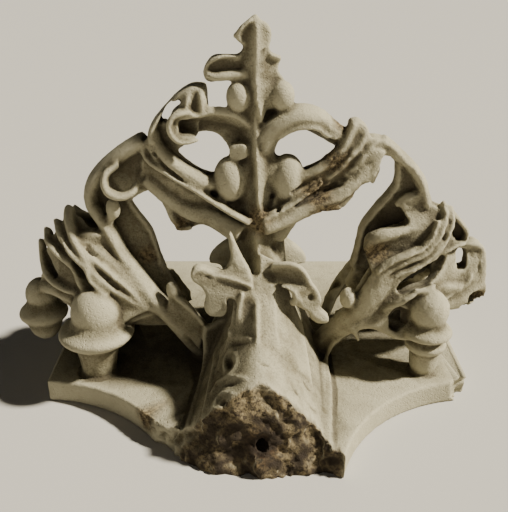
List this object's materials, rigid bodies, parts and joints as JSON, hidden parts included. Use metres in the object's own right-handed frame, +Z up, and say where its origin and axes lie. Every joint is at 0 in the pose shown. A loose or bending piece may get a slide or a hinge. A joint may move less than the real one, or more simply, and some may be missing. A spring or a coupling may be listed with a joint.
{
  "type": "fleuron",
  "caption": "Carved limestone fleuron: a plate with scooped corners, a forked trunk, openwork leaf wings with hanging buds, and a bulbed stem with a top leaf.",
  "frame": {"origin": "middle of the plate's underside, below the trunk's axis", "axes": "+Z up through the stem, +X to the viewer's right along the wings, +Y away from the broken front"},
  "size_m": [0.6256, 0.5056, 0.4667],
  "materials": {
    "limestone": "weathered, matt, with rough broken faces"
  },
  "bodies": {
    "root": {"fleuron": "limestone"}
  },
  "joints": []
}
